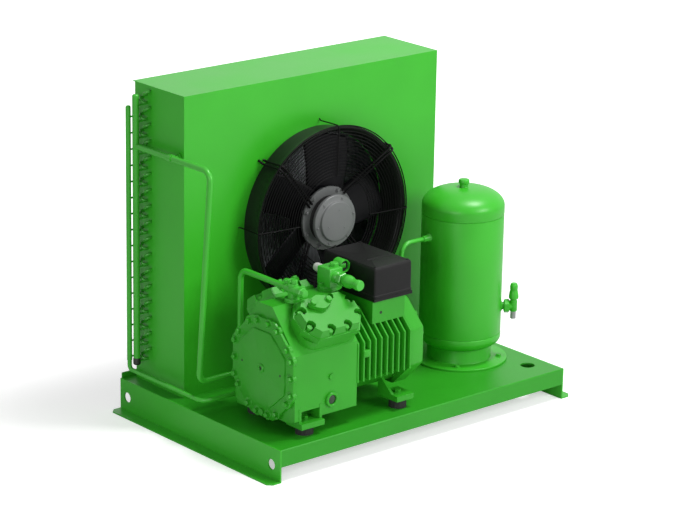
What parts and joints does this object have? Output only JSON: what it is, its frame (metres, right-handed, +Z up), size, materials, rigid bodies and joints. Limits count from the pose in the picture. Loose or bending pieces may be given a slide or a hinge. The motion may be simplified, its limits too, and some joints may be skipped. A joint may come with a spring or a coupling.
{
  "type": "refrigeration condensing unit",
  "caption": "Air-cooled condensing unit on a folded base: semi-hermetic piston compressor, finned condenser with fan and guard, upright liquid receiver, valves and pipes.",
  "frame": {"origin": "on the ground under the middle of the whole unit's footprint, at the middle of the base's length and depth", "axes": "+X along the long side towards the receiver, +Y towards the condenser's back, -Y on the compressor's side, +Z up"},
  "size_m": [1.07, 0.68, 0.907],
  "materials": {
    "black_coat": "satin",
    "black_plastic": "matte",
    "brass": "satin",
    "fin_aluminium": "satin",
    "galvanised": "satin",
    "glass": "gloss",
    "green_paint": "gloss",
    "grey_plastic": "satin",
    "motor_aluminium": "satin",
    "rubber": "matte",
    "steel": "satin"
  },
  "bodies": {
    "frame": {"back_upstand": "green_paint", "base_plate": "green_paint", "blank_flanges": "green_paint", "coil_fins": "fin_aluminium", "cover_bolts": "green_paint", "crankcase": "green_paint", "discharge_cap": "green_paint", "discharge_pipe": "green_paint", "discharge_valve": "green_paint", "end_cover": "green_paint", "end_plates": "galvanised", "fan_guard": "black_coat", "fan_nozzle": "black_coat", "fan_stator": "motor_aluminium", "front_head": "green_paint", "front_lip": "green_paint", "gas_header": "green_paint", "guard_legs": "black_coat", "head_bolts": "green_paint", "left_rail": "green_paint", "liquid_header": "green_paint", "liquid_pipe": "green_paint", "motor_cover": "green_paint", "motor_cover_bolts": "green_paint", "motor_housing": "green_paint", "mount_bolts": "green_paint", "oil_plugs": "green_paint", "outlet_cap": "green_paint", "outlet_nipple": "green_paint", "outlet_nut": "green_paint", "outlet_valve": "green_paint", "rear_head": "green_paint", "receiver_bolts": "green_paint", "receiver_foot": "green_paint", "receiver_plug": "green_paint", "receiver_shell": "green_paint", "return_bends": "green_paint", "right_rail": "green_paint", "rubber_mounts": "rubber", "service_caps": "green_paint", "shroud": "green_paint", "sight_glass": "glass", "sight_glass_ring": "green_paint", "suction_cap": "green_paint", "suction_plug": "grey_plastic", "suction_valve": "green_paint", "terminal_lid": "black_plastic", "terminal_tray": "black_plastic", "terminals": "brass", "valve_plates": "green_paint"},
    "impeller": {"impeller": "black_coat"},
    "crankshaft": {"crankshaft": "steel", "motor_rotor": "steel"},
    "outlet_stem": {"outlet_stem": "steel"},
    "suction_stem": {"suction_stem": "steel"},
    "discharge_stem": {"discharge_stem": "steel"}
  },
  "joints": [
    {"name": "fan_spin", "type": "hinge", "parent": "frame", "child": "impeller", "pos_m": [-0.017, 0.1, 0.516], "axis": [0, -1, 0], "continuous": true},
    {"name": "crankshaft_spin", "type": "hinge", "parent": "frame", "child": "crankshaft", "pos_m": [-0.2, -0.18, 0.25], "axis": [1, 0, 0], "continuous": true},
    {"name": "outlet_stem_turn", "type": "hinge", "parent": "frame", "child": "outlet_stem", "pos_m": [0.45172, -0.1839, 0.257], "axis": [0, 0, 1], "range_deg": [0, 1080]},
    {"name": "suction_stem_turn", "type": "hinge", "parent": "frame", "child": "suction_stem", "pos_m": [-0.208, -0.23, 0.455], "axis": [0, -1, 0], "range_deg": [0, 1080]},
    {"name": "discharge_stem_turn", "type": "hinge", "parent": "frame", "child": "discharge_stem", "pos_m": [-0.352, -0.2, 0.45], "axis": [0, -1, 0], "range_deg": [0, 1080]}
  ]
}
